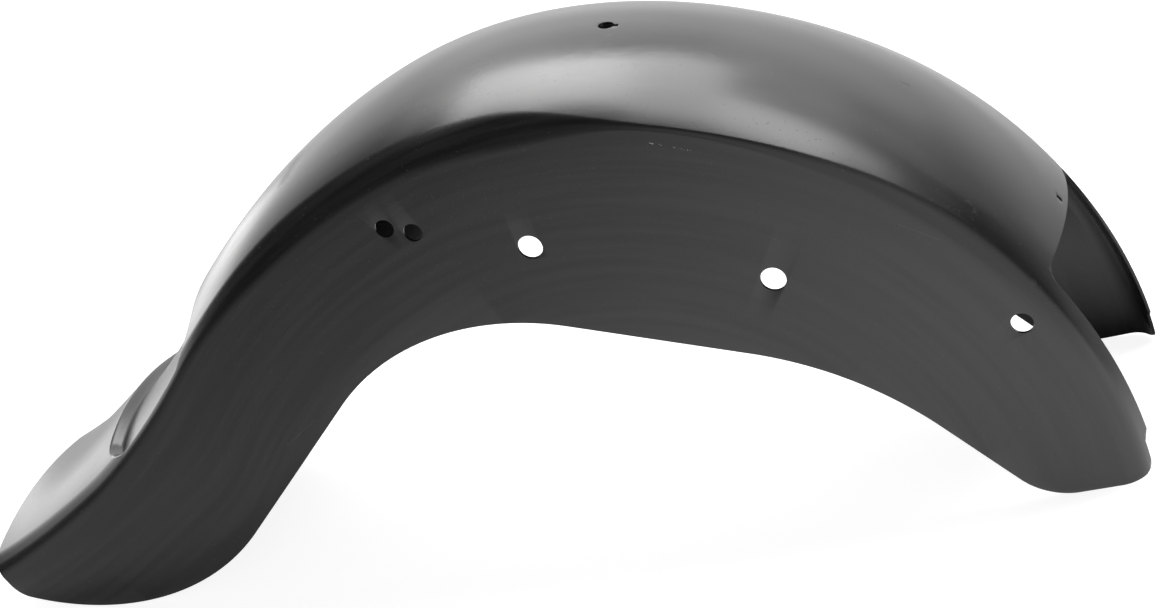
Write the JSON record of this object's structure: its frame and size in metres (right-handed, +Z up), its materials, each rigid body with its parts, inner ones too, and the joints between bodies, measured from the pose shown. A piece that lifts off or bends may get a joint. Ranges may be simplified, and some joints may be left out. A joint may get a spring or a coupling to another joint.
{
  "type": "motorcycle rear fender",
  "caption": "Pressed steel motorcycle rear fender with a domed crown, flat side walls, a swept front leg with a recess, an open tail and strut bolt holes.",
  "frame": {"origin": "middle of the part's length and width, on the surface that its leg and its tail stand on", "axes": "+Z up, +X toward the tail, +Y toward the rider's right; the wheel turns about an axis along Y"},
  "size_m": [0.9096, 0.19, 0.3662],
  "materials": {
    "coated_steel": "satin"
  },
  "bodies": {
    "root": {"fender": "coated_steel"}
  },
  "joints": []
}
